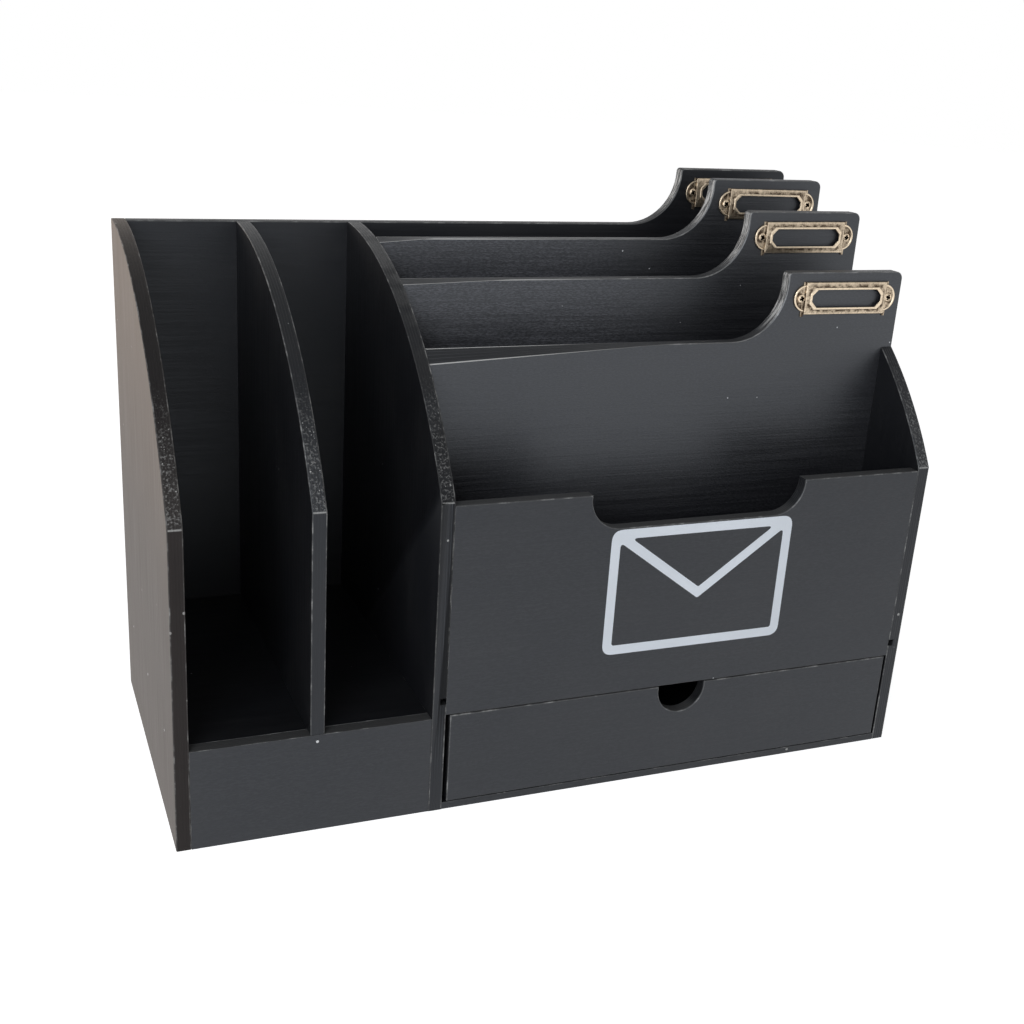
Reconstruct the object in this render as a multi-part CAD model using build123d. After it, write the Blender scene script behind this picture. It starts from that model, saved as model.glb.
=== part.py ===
from build123d import *
import os
from math import sqrt

# Desk envelope sorter: two upright slots on the left, four stepped letter pockets on the
# right over a drawer. Millimetres, +X to the right, +Y to the back, +Z up, origin at the
# centre of the footprint.

# ---- driving dimensions -------------------------------------------------------------------
width = 400.0
depth = 180.0
total_height = 300.0
board = 7.0                      # every panel of the case, and the drawer front
arris = 0.5                      # sanded-off edge on what a hand touches

wall_height = 267.6              # rear top corner of the uprights and of the low back edge
kink_height = 164.2              # where the straight front edge ends and the arc begins
left_kink_height = 161.0         # the left end panel was sanded a little lower

slot_divider_x = 63.4            # left faces, measured from the left end of the case
partition_x = 124.0
slot_floor_top = 52.2

base_thickness = 4.0
drawer_bay_top = 53.6            # underside of the pocket floor and of the front panel
front_panel_top = 162.6
notch_width = 120.8
notch_depth = 18.2
notch_radius = 16.5
relief_width = 3.2               # open end of the joint beside the front panel's lower corners
relief_height = 3.4
relief_bottom = 59.4

# letter dividers from the front: front face, level top edge, top of the tab, the length over
# which the bevelled left end fades out, and how far it was cut below the partition's arc
divider_sizes = {
    "front": (46.8, 224.5, 260.6, 130.0, 1.8),
    "middle": (91.5, 250.1, 285.8, 60.0, 0.0),
    "rear": (133.5, 264.5, 298.3, 30.0, 0.0),
}
tab_width = 72.0
tab_sweep = 30.0                 # radius of the curve that climbs to a tab
tab_inner_corner = 2.0
tab_outer_corner = 4.0

holder_below_top = 13.6          # centre of a label holder under the top of its tab
holder_width = 51.0
holder_height = 17.2
holder_flange = 1.4              # the foot flange past each end of the frame
holder_window = (43.4, 9.4)
holder_window_chamfer = 3.2
holder_sheet = 0.6
holder_wall = 1.3                # height of the frame's upright rim
holder_rise = 2.5                # height of the window lip
holder_lip = 0.9
ear_radius = 7.2
ear_offset = 24.8
screw_spacing = 55.0
screw_head_radius = 2.0
screw_head_height = 1.1
screw_shank_radius = 1.0
screw_length = 6.0
screw_slot = (2.2, 0.55, 0.6)    # one bar of the cross recess: length, width, depth
screw_hole_play = 0.2

drawer_side_gap = 2.4            # wider on the left, where the drawer stands off the partition
drawer_right_gap = 1.2
drawer_top_gap = 0.6
drawer_floor_gap = 0.4
drawer_length = 168.0
drawer_side = 5.0
drawer_side_height = 41.0
drawer_bottom = 3.0
groove_depth = 2.5
groove_height = 4.0              # underside of the groove over the bottom edge of the side
finger_radius = 13.4
finger_drop = 2.5                # straight part of the finger cut under the top edge

brad_section = (1.2, 1.0)        # flat wire
brad_length = 20.0
brad_set = 0.5                   # brads are set under the surface and filled

past = 1.0                       # how far a cutter runs past the face that it opens

# ---- places worked out from them ----------------------------------------------------------
left = -width / 2
right = width / 2
front = -depth / 2
back = depth / 2
bay_left = left + partition_x + board
bay_right = right - board
bay_middle = (bay_left + bay_right) / 2
back_face = back - board
pocket_floor_top = drawer_bay_top + board
tab_left = right - tab_width


def arc_height(y, kink):
    """Height of the arc over y. The arc is level at the back and ends at the kink in front."""
    rise = wall_height - kink
    radius = (depth**2 + rise**2) / (2 * rise)
    return wall_height - radius + sqrt(radius**2 - (back - y) ** 2)


def block(x0, x1, y0, y1, z0, z1):
    """A board or a cutter given by its faces."""
    size = (x1 - x0, y1 - y0, z1 - z0)
    return Pos((x0 + x1) / 2, (y0 + y1) / 2, (z0 + z1) / 2) * Box(*size)


def soften(panel, axis, chosen):
    """Break the chosen arrises of a panel's two broad faces, which face along the axis."""
    faces = panel.faces().sort_by(axis)
    arrises = faces[0].edges() + faces[-1].edges()
    return chamfer(arrises.filter_by(chosen), arris)


# ---- uprights -----------------------------------------------------------------------------
def upright(x0, kink, bottom, rear):
    """A vertical board across the case with the arched front."""
    middle = (front + rear) / 2
    foot_front = (front, bottom)
    foot_rear = (rear, bottom)
    top_rear = (rear, arc_height(rear, kink))
    arc_middle = (middle, arc_height(middle, kink))
    top_front = (front, kink)
    with BuildPart() as panel:
        with BuildSketch(Plane.YZ.offset(x0)):
            with BuildLine():
                Polyline(top_front, foot_front, foot_rear, top_rear)
                ThreePointArc(top_rear, arc_middle, top_front)
            make_face()
        extrude(amount=board)
    return panel.part


def softened_upright(x0, kink, bottom, rear):
    """An upright with sanded arrises along its front edge and its arc."""
    def in_front_or_on_top(edge):
        at = edge.center()
        return (at.Y < front + 0.01 or at.Z > kink) and at.Y < rear - 0.01
    return soften(upright(x0, kink, bottom, rear), Axis.X, in_front_or_on_top)


def relief(x0):
    """The small open pocket beside a lower corner of the mail front panel."""
    return block(x0, x0 + relief_width, front - past, front + board,
                 relief_bottom, relief_bottom + relief_height)


def left_end_panel():
    return softened_upright(left, left_kink_height, 0, back)


def slot_divider():
    return softened_upright(left + slot_divider_x, kink_height, slot_floor_top, back_face)


def bay_partition():
    panel = softened_upright(left + partition_x, kink_height, 0, back_face)
    return panel - relief(bay_left - relief_width)


def right_end_panel():
    panel = softened_upright(bay_right, kink_height, 0, back)
    return panel - relief(bay_right)


# ---- panels with a tab --------------------------------------------------------------------
def tab_outline(x0, bottom, level, top):
    """Front view of a divider: a level top that sweeps up to a tab at the right end."""
    sweep_end = (tab_left, level + tab_sweep)
    sweep_centre = (tab_left - tab_sweep, level + tab_sweep)
    bottom_right = (right, bottom)
    with BuildSketch() as outline:
        with BuildLine():
            Polyline((tab_left - tab_sweep, level), (x0, level), (x0, bottom), bottom_right,
                     (right, top), (tab_left, top), sweep_end)
            CenterArc(sweep_centre, tab_sweep, 270, 90)
        make_face()
        for along_top, radius in ((0, tab_inner_corner), (-1, tab_outer_corner)):
            corners = outline.vertices().group_by(Axis.Y)[-1].sort_by(Axis.X)
            fillet(corners[along_top], radius)
    return outline.sketch


def tabbed_board(x0, y0, bottom, level, top):
    """A board with a tab that reaches over the right end panel and rests on its arc."""
    outline = Plane.XZ.offset(-(y0 + board)) * tab_outline(x0, bottom, level, top)
    panel = extrude(outline, amount=board)

    def on_the_tab(edge):
        return edge.center().Z > level + 0.5
    softened = soften(panel, Axis.Y, on_the_tab)
    return softened - upright(bay_right, kink_height, 0, back)


def end_bevel(y0, level, length, below_arc):
    """Cutter that bevels a divider's left end down to the partition's arc and fades out."""
    def section(x, drop):
        slope = drop / board
        corners = [(y0 - past, level - drop - slope * past), (y0 + board, level),
                   (y0 + board, level + past), (y0 - past, level + past)]
        return Plane.YZ.offset(x) * make_face(Polyline(*corners, close=True))
    full_drop = level - arc_height(y0, kink_height) + below_arc
    no_drop = full_drop / 500
    return loft([section(bay_left, full_drop), section(bay_left + length, no_drop)], ruled=True)


def mail_divider(place):
    face, level, top, bevel_length, below_arc = divider_sizes[place]
    y0 = front + face
    panel = tabbed_board(bay_left, y0, pocket_floor_top, level, top)
    return panel - end_bevel(y0, level, bevel_length, below_arc)


def back_panel():
    return tabbed_board(left + board, back_face, 0, wall_height, total_height)


# ---- flat boards --------------------------------------------------------------------------
def cut_from_behind(outline, x, z):
    """Cutter through a front board: an outline drawn about the point (x, z)."""
    placed = Pos(x, front + board + past, z) * Rot(90, 0, 0) * outline
    return extrude(placed, amount=board + 2 * past, dir=(0, -1, 0))


def mail_front_panel():
    """Low front of the first pocket, with a hand notch in its top edge."""
    panel = block(bay_left, bay_right, front, front + board, drawer_bay_top, front_panel_top)
    notch = RectangleRounded(notch_width, 2 * notch_depth, notch_radius)
    panel -= cut_from_behind(notch, bay_middle, front_panel_top)
    notch_bottom = front_panel_top - notch_depth
    return soften(panel, Axis.Y, lambda edge: edge.center().Z > notch_bottom - past)


def toe_board():
    return block(left + board, left + partition_x, front, front + board, 0, slot_floor_top)


def slot_floor():
    return block(left + board, left + partition_x, front + board, back_face,
                 slot_floor_top - board, slot_floor_top)


def mail_floor():
    return block(bay_left, bay_right, front + board, back_face, drawer_bay_top, pocket_floor_top)


def base_panel():
    return block(bay_left, bay_right, front, back_face, 0, base_thickness)


# ---- drawer -------------------------------------------------------------------------------
drawer_x0 = bay_left + drawer_side_gap
drawer_x1 = bay_right - drawer_right_gap
drawer_z0 = base_thickness + drawer_floor_gap
drawer_z1 = drawer_bay_top - drawer_top_gap
drawer_rear = front + drawer_length
groove_z0 = drawer_z0 + groove_height


def drawer_bottom_board():
    """The thin bottom, which runs into grooves all round."""
    return block(drawer_x0 + drawer_side - groove_depth, drawer_x1 - drawer_side + groove_depth,
                 front + board - groove_depth, drawer_rear - drawer_side + groove_depth,
                 groove_z0, groove_z0 + drawer_bottom)


def drawer_front():
    """Front board with a half-round finger cut in the middle of its top edge."""
    panel = block(drawer_x0, drawer_x1, front, front + board, drawer_z0, drawer_z1)
    middle = (drawer_x0 + drawer_x1) / 2
    cut = Pos(0, -finger_drop) * Circle(finger_radius) + Rectangle(2 * finger_radius, 2 * finger_drop)
    panel -= cut_from_behind(cut, middle, drawer_z1)
    panel = soften(panel, Axis.Y, lambda edge: edge.center().Z > drawer_z0 + past)
    return panel - drawer_bottom_board()


def drawer_side_board(x0):
    board_blank = block(x0, x0 + drawer_side, front + board, drawer_rear,
                        drawer_z0, drawer_z0 + drawer_side_height)
    return board_blank - drawer_bottom_board()


def drawer_back():
    board_blank = block(drawer_x0 + drawer_side, drawer_x1 - drawer_side,
                        drawer_rear - drawer_side, drawer_rear,
                        drawer_z0, drawer_z0 + drawer_side_height)
    return board_blank - drawer_bottom_board()


# ---- label holders and fasteners ----------------------------------------------------------
holder_x = right - tab_width / 2


def placed_on_face(y, z):
    """Frame on a divider's front face: local x to the right, local y up, local z to the front."""
    return Plane(origin=(holder_x, y, z), x_dir=(1, 0, 0), z_dir=(0, -1, 0))


def window_outline():
    window = Rectangle(*holder_window)
    return chamfer(window.vertices(), holder_window_chamfer)


def label_holder(y, z):
    """Stamped frame: ears and a foot flange on the wood, an upright rim and a mitred bevel."""
    flange = Rectangle(holder_width + 2 * holder_flange, holder_height)
    ears = [Pos(side * ear_offset, 0) * Circle(ear_radius) for side in (-1, 1)]
    foot = extrude(flange + ears, amount=holder_sheet)
    rim = extrude(Rectangle(holder_width, holder_height), amount=holder_wall)
    lip_size = (holder_window[0] + 2 * holder_lip, holder_window[1] + 2 * holder_lip)
    bevel = loft([Pos(0, 0, holder_wall) * Rectangle(holder_width, holder_height),
                  Pos(0, 0, holder_rise) * Rectangle(*lip_size)], ruled=True)
    card_room = extrude(Rectangle(holder_width - 2 * holder_sheet, holder_height - 2 * holder_sheet),
                        amount=holder_wall - holder_sheet / 2)
    frame = foot + rim + bevel - card_room - extrude(window_outline(), amount=holder_rise)
    for side in (-1, 1):
        hole = Circle(screw_shank_radius + screw_hole_play)
        frame -= extrude(Pos(side * screw_spacing / 2, 0) * hole, amount=holder_rise)
    return placed_on_face(y, z) * frame


def label_screw():
    """Domed wood screw with a cross recess, standing on the local origin."""
    rim = (screw_head_radius, screw_head_height / 2)
    crown = (0, screw_head_height)
    profile = make_face([
        Line((0, 0), (screw_head_radius, 0)),
        Line((screw_head_radius, 0), rim),
        TangentArc(crown, rim, tangent=(1, 0)),
        Line(crown, (0, 0)),
    ])
    head = revolve(Plane.XZ * profile, Axis.Z)
    shank = Pos(0, 0, -screw_length / 2) * Cylinder(screw_shank_radius, screw_length)
    length, slot_width, slot_depth = screw_slot
    bar = Pos(0, 0, screw_head_height) * Box(length, slot_width, 2 * slot_depth)
    return head + shank - bar - Rot(0, 0, 90) * bar


def label_screws(y, z):
    screw = Pos(0, 0, holder_sheet) * label_screw()
    pair = [Pos(side * screw_spacing / 2, 0) * screw for side in (-1, 1)]
    return [placed_on_face(y, z) * each for each in pair]


def brad(at, direction):
    """A headless nail from just under the face at a point, driven along the direction."""
    start = Vector(*at) + Vector(*direction) * brad_set
    shaft = Plane(origin=start, z_dir=direction) * Rectangle(*brad_section)
    return extrude(shaft, amount=brad_length)


def along(start, end, count):
    """Evenly spaced places between two ends, half a step in from each."""
    step = (end - start) / count
    return [start + step * (index + 0.5) for index in range(count)]


def case_brads():
    """Brads through the ends, the back and the toe board into the boards they carry."""
    slot_floor_z = slot_floor_top - board / 2
    pocket_floor_z = drawer_bay_top + board / 2
    brads = [brad((left + slot_divider_x + board / 2, front, slot_floor_z), (0, 1, 0))]
    for y in along(front, back, 3):
        brads.append(brad((left, y, slot_floor_z), (1, 0, 0)))
        brads.append(brad((right, y, pocket_floor_z), (-1, 0, 0)))
    for face, level, _, _, _ in divider_sizes.values():
        for z in along(pocket_floor_top, level, 3):
            brads.append(brad((right, front + face + board / 2, z), (-1, 0, 0)))
    for x in (left + slot_divider_x, left + partition_x):
        for z in along(slot_floor_top, wall_height, 3):
            brads.append(brad((x + board / 2, back, z), (0, -1, 0)))
    return brads


def drawer_brads():
    """Brads through the drawer's sides into its front and its back."""
    brads = []
    for x, inwards in ((drawer_x0, 1), (drawer_x1, -1)):
        for z in along(groove_z0 + drawer_bottom, drawer_z0 + drawer_side_height, 2):
            brads.append(brad((x, front + board / 2, z), (inwards, 0, 0)))
            brads.append(brad((x, drawer_rear - drawer_side / 2, z), (inwards, 0, 0)))
    return brads


# ---- write --------------------------------------------------------------------------------
def all_pieces():
    pieces = {
        "left_end_panel": left_end_panel(),
        "slot_divider": slot_divider(),
        "bay_partition": bay_partition(),
        "right_end_panel": right_end_panel(),
        "back_panel": back_panel(),
        "mail_front_panel": mail_front_panel(),
        "toe_board": toe_board(),
        "slot_floor": slot_floor(),
        "mail_floor": mail_floor(),
        "base_panel": base_panel(),
        "drawer_front": drawer_front(),
        "drawer_left_side": drawer_side_board(drawer_x0),
        "drawer_right_side": drawer_side_board(drawer_x1 - drawer_side),
        "drawer_back": drawer_back(),
        "drawer_bottom": drawer_bottom_board(),
        "case_brads": case_brads(),
        "drawer_brads": drawer_brads(),
    }
    tabs = {"back": (back_face, total_height)}
    for place, (face, _, top, _, _) in divider_sizes.items():
        pieces[f"mail_divider_{place}"] = mail_divider(place)
        tabs[place] = (front + face, top)
    for place, (y, top) in tabs.items():
        pieces[f"label_holder_{place}"] = label_holder(y, top - holder_below_top)
        pieces[f"label_screws_{place}"] = label_screws(y, top - holder_below_top)
    return pieces


def write_pieces():
    os.makedirs("parts", exist_ok=True)
    for name, piece in all_pieces().items():
        shape = Compound(children=list(piece)) if isinstance(piece, list) else piece
        shape.label = name
        export_step(shape, f"parts/{name}.step")


write_pieces()
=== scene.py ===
"""Black desk sorter with upright slots, letter pockets, label holders and a drawer.

Laid out as an add-on and run as a script: each operator dresses one group of the sorter's
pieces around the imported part. Metres, +X to the right, +Y to the back, +Z up.
"""

import math

import bmesh
import bpy
from bpy.props import FloatProperty, FloatVectorProperty, IntProperty, PointerProperty
from bpy.types import Operator, Panel, PropertyGroup
from mathutils import Matrix, Vector


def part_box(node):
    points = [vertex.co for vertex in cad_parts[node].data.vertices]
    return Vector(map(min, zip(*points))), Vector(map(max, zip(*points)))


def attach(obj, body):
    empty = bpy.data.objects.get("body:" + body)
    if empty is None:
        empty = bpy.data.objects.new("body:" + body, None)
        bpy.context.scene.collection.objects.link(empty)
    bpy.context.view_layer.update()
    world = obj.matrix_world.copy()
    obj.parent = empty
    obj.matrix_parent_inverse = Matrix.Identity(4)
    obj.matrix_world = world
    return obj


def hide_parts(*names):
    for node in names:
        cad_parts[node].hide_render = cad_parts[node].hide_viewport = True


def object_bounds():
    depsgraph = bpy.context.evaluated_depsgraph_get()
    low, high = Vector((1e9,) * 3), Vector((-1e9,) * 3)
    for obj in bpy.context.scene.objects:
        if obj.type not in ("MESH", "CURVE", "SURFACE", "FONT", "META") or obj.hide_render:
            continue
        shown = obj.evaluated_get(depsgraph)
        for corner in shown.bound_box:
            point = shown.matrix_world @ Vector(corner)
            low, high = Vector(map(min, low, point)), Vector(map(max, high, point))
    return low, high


bl_info = {
    "name": "Desk Sorter",
    "version": (1, 0, 0),
    "blender": (4, 5, 0),
    "location": "View3D > Sidebar > Sorter",
    "description": "Dresses a painted plywood desk sorter around its packed part",
    "category": "Object",
}

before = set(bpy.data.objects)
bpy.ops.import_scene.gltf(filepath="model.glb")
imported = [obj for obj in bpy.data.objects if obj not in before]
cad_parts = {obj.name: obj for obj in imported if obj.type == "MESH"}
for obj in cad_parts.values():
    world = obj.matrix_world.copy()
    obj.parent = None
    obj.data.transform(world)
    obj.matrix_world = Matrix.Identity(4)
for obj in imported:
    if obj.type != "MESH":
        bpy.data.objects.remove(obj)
cad_low, cad_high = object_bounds()

MM = 0.001
TABS = ("front", "middle", "rear", "back")


# ---- properties ---------------------------------------------------------------------------
def length(name, description, default):
    return FloatProperty(name=name, description=description, default=default, min=0.0,
                         unit="LENGTH", subtype="DISTANCE", precision=5)


def share(name, description, default, high=1.0):
    return FloatProperty(name=name, description=description, default=default, min=0.0,
                         max=high, subtype="FACTOR")


def colour(name, description, default):
    return FloatVectorProperty(name=name, description=description, default=default, size=3,
                               min=0.0, max=1.0, subtype="COLOR")


class SorterSizes(PropertyGroup):
    """Sizes that a user may change."""
    arch_arris: length("Arch arris", "Rounding of the uprights' edges", 0.5 * MM)
    board_arris: length("Board arris", "Rounding of the other boards' edges", 0.28 * MM)
    arch_points: IntProperty(name="Arch points", description="Points along each arch",
                             default=48, min=8, max=200)
    wall_height: length("Wall height", "Top of the arch at the back",
                        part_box("left_end_panel")[1].z)
    kink_height: length("Kink height", "Where the arch meets the straight front edge",
                        164.2 * MM)
    left_kink_height: length("Left kink height", "The same on the left end panel", 161.0 * MM)
    screw_head: length("Screw head", "Radius of a label screw's head", 2.15 * MM)
    screw_rise: length("Screw rise", "Height of a label screw's domed head", 1.1 * MM)
    fill_radius: length("Brad fill", "Radius of the filler over a set brad", 0.75 * MM)
    motif_width: length("Motif width", "Width of the painted envelope", 104 * MM)
    motif_height: length("Motif height", "Height of the painted envelope", 68 * MM)
    motif_line: length("Motif line", "Width of the painted envelope's lines", 5.0 * MM)


class SorterFinish(PropertyGroup):
    """Colours and wear that a user may change."""
    paint: colour("Paint", "Black paint", (0.0065, 0.0066, 0.0082))
    thin_paint: colour("Thin paint", "Paint where the grain shows through",
                       (0.0125, 0.0122, 0.0132))
    # paint dulled by fine scratches, used also as painted light to lighten the shaded dividers
    dulled_and_painted_light: colour("Powder", "Paint dulled by fine scratches", (0.10, 0.10, 0.112))
    # painted reflection: warm light paint high on the left end's outer face
    painted_reflection: colour("Sunned paint", "Hazy warm paint high on the left end",
                   (0.095, 0.067, 0.049))
    # also the colour of the painted highlights on the boards' edges
    bare_and_highlight: colour("Sanded edge", "Pale wood and primer where paint is rubbed off",
                 (0.60, 0.59, 0.57))
    dust: colour("Dust", "Lint and dust specks", (0.62, 0.62, 0.64))
    brass: colour("Brass", "Rubbed antique brass", (0.82, 0.68, 0.51))
    # patina, also laid as painted shade in the holders' creases and in the screws' recesses
    patina_and_shade_colour: colour("Patina", "Dark patina in the brass's hollows", (0.075, 0.050, 0.032))
    motif: colour("Motif", "White paint of the envelope", (0.88, 0.92, 0.98))
    # scales the painted highlights on the edges as well as their wear
    wear_and_highlight_amount: share("Wear", "How worn the sanded edges are", 1.0, 2.0)


class SorterStage(PropertyGroup):
    """Floor and light."""
    floor: colour("Floor", "Pale floor", (0.78, 0.78, 0.78))
    world: share("World", "Level of the light from all round", 0.66, 2.0)
    key: FloatProperty(name="Key", description="Power of the front light", default=14.0,
                       min=0.0, unit="POWER")
    side: FloatProperty(name="Side", description="Power of the back left light", default=5.0,
                        min=0.0, unit="POWER")


# ---- node helpers -------------------------------------------------------------------------
def put(tree, kind, links=None, **settings):
    """Add a node; links gives an input's value or the socket that feeds it."""
    node = tree.nodes.new(kind)
    for name, value in settings.items():
        setattr(node, name, value)
    for name, value in (links or {}).items():
        if isinstance(value, bpy.types.NodeSocket):
            tree.links.new(value, node.inputs[name])
        else:
            node.inputs[name].default_value = value
    return node


def maths(tree, operation, *values, clamp=False):
    node = put(tree, "ShaderNodeMath", dict(enumerate(values)), operation=operation,
               use_clamp=clamp)
    return node.outputs[0]


def ramp(tree, value, low, high, to_low=0.0, to_high=1.0, smooth=True):
    """A value taken from one range to another."""
    node = put(tree, "ShaderNodeMapRange",
               {"Value": value, "From Min": low, "From Max": high,
                "To Min": to_low, "To Max": to_high},
               interpolation_type="SMOOTHSTEP" if smooth else "LINEAR")
    return node.outputs["Result"]


def blend_colours(tree, amount, first, second):
    node = put(tree, "ShaderNodeMix", {0: amount}, data_type="RGBA")
    for socket, value in ((node.inputs[6], first), (node.inputs[7], second)):
        if isinstance(value, bpy.types.NodeSocket):
            tree.links.new(value, socket)
        else:
            socket.default_value = (*value, 1.0)
    return node.outputs[2]


def scaled(tree, vector, factors):
    node = put(tree, "ShaderNodeVectorMath", {0: vector, 1: factors}, operation="MULTIPLY")
    return node.outputs[0]


def noise(tree, vector, scale, detail=2.0, roughness=0.5):
    node = put(tree, "ShaderNodeTexNoise", {"Vector": vector, "Scale": scale,
                                            "Detail": detail, "Roughness": roughness})
    return node.outputs["Fac"]


def group(name, inputs, outputs):
    """A new node group for shaders, with its input and output nodes."""
    tree = bpy.data.node_groups.new(name, "ShaderNodeTree")
    for socket, kind, default in inputs:
        made = tree.interface.new_socket(name=socket, in_out="INPUT", socket_type=kind)
        if default is not None:
            made.default_value = default
    for socket, kind in outputs:
        tree.interface.new_socket(name=socket, in_out="OUTPUT", socket_type=kind)
    entry = tree.nodes.new("NodeGroupInput")
    leave = tree.nodes.new("NodeGroupOutput")
    return tree, entry.outputs, leave.inputs


def use(tree, shared, links):
    node = put(tree, "ShaderNodeGroup", node_tree=shared)
    for name, value in links.items():
        if isinstance(value, bpy.types.NodeSocket):
            tree.links.new(value, node.inputs[name])
        else:
            node.inputs[name].default_value = value
    return node.outputs


# ---- shared effects -----------------------------------------------------------------------
def board_edge_group():
    """From the place through the board's thickness: its sawn edge, its arrises and its plies."""
    if "board_edge" in bpy.data.node_groups:
        return bpy.data.node_groups["board_edge"]
    tree, given, out = group("board_edge",
                             [("Through", "NodeSocketFloat", 0.0),
                              ("Vector", "NodeSocketVector", None),
                              ("Plies", "NodeSocketFloat", 5.0)],
                             [("Edge", "NodeSocketFloat"), ("Arris", "NodeSocketFloat"),
                              ("Plies", "NodeSocketFloat")])
    centred = maths(tree, "ABSOLUTE", maths(tree, "SUBTRACT", given["Through"], 0.5))
    inwards = maths(tree, "SUBTRACT", 0.5, centred)
    edge = ramp(tree, inwards, 0.055, 0.10)
    on_bevel = ramp(tree, inwards, 0.001, 0.010)
    arris = maths(tree, "MULTIPLY", on_bevel, maths(tree, "SUBTRACT", 1.0, edge))
    wander = noise(tree, scaled(tree, given["Vector"], (0.03, 0.03, 0.03)), 1.0, 3.0)
    layer = maths(tree, "ADD", maths(tree, "MULTIPLY", given["Through"], given["Plies"]),
                  maths(tree, "MULTIPLY", wander, 0.35))
    wave = maths(tree, "SINE", maths(tree, "MULTIPLY", layer, 2 * math.pi))
    plies = ramp(tree, wave, -0.2, 0.9)
    for name, value in (("Edge", edge), ("Arris", arris), ("Plies", plies)):
        tree.links.new(value, out[name])
    return tree


def brushed_grain_group():
    """Fine streaks along the grain under the paint, with short raised fibres."""
    if "brushed_grain" in bpy.data.node_groups:
        return bpy.data.node_groups["brushed_grain"]
    tree, given, out = group("brushed_grain",
                             [("Vector", "NodeSocketVector", None),
                              ("Fineness", "NodeSocketFloat", 1.0)],
                             [("Streaks", "NodeSocketFloat"), ("Fibres", "NodeSocketFloat"),
                              ("Clouds", "NodeSocketFloat")])
    fine = put(tree, "ShaderNodeVectorMath", {0: given["Vector"], 3: given["Fineness"]},
               operation="SCALE").outputs[0]
    streaks = noise(tree, scaled(tree, fine, (0.018, 1.1, 1.1)), 1.0, 4.0, 0.6)
    fibres = noise(tree, scaled(tree, fine, (0.55, 2.2, 2.2)), 1.0, 3.0, 0.65)
    clouds = noise(tree, scaled(tree, given["Vector"], (0.018, 0.03, 0.03)), 1.0, 3.0, 0.55)
    for name, value in (("Streaks", streaks), ("Fibres", fibres), ("Clouds", clouds)):
        tree.links.new(value, out[name])
    return tree


def specks_group():
    """Lint and dust: sparse small dots of uneven size."""
    if "specks" in bpy.data.node_groups:
        return bpy.data.node_groups["specks"]
    tree, given, out = group("specks",
                             [("Vector", "NodeSocketVector", None),
                              ("Spacing", "NodeSocketFloat", 6.0),
                              ("Size", "NodeSocketFloat", 0.35),
                              ("Kept", "NodeSocketFloat", 0.2)],
                             [("Mask", "NodeSocketFloat")])
    cells = maths(tree, "DIVIDE", 1.0, given["Spacing"])
    cell = put(tree, "ShaderNodeTexVoronoi", {"Vector": given["Vector"], "Scale": cells})
    far = maths(tree, "MULTIPLY", cell.outputs["Distance"], given["Spacing"])
    pick = put(tree, "ShaderNodeSeparateColor", {0: cell.outputs["Color"]})
    size = maths(tree, "MULTIPLY", given["Size"], ramp(tree, pick.outputs[1], 0.0, 1.0, 0.35, 1.0))
    dot = maths(tree, "LESS_THAN", far, size)
    kept = maths(tree, "LESS_THAN", pick.outputs[0], given["Kept"])
    tree.links.new(maths(tree, "MULTIPLY", dot, kept), out["Mask"])
    return tree


# ---- materials ----------------------------------------------------------------------------
def new_material(name):
    material = bpy.data.materials.new(name)
    material.use_nodes = True
    tree = material.node_tree
    tree.nodes.clear()
    shader = put(tree, "ShaderNodeBsdfPrincipled")
    output = put(tree, "ShaderNodeOutputMaterial")
    tree.links.new(shader.outputs[0], output.inputs[0])
    return material, tree, shader


def object_millimetres(tree, order="XYZ"):
    """Object coordinates in millimetres, with the axes in the order asked for."""
    coordinates = put(tree, "ShaderNodeTexCoord")
    mapping = put(tree, "ShaderNodeMapping", {"Vector": coordinates.outputs["Object"],
                                              "Scale": (1 / MM,) * 3})
    parts = put(tree, "ShaderNodeSeparateXYZ", {0: mapping.outputs[0]})
    turned = put(tree, "ShaderNodeCombineXYZ",
                 {place: parts.outputs[axis] for place, axis in zip("XYZ", order)})
    return turned.outputs[0], parts.outputs


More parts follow.
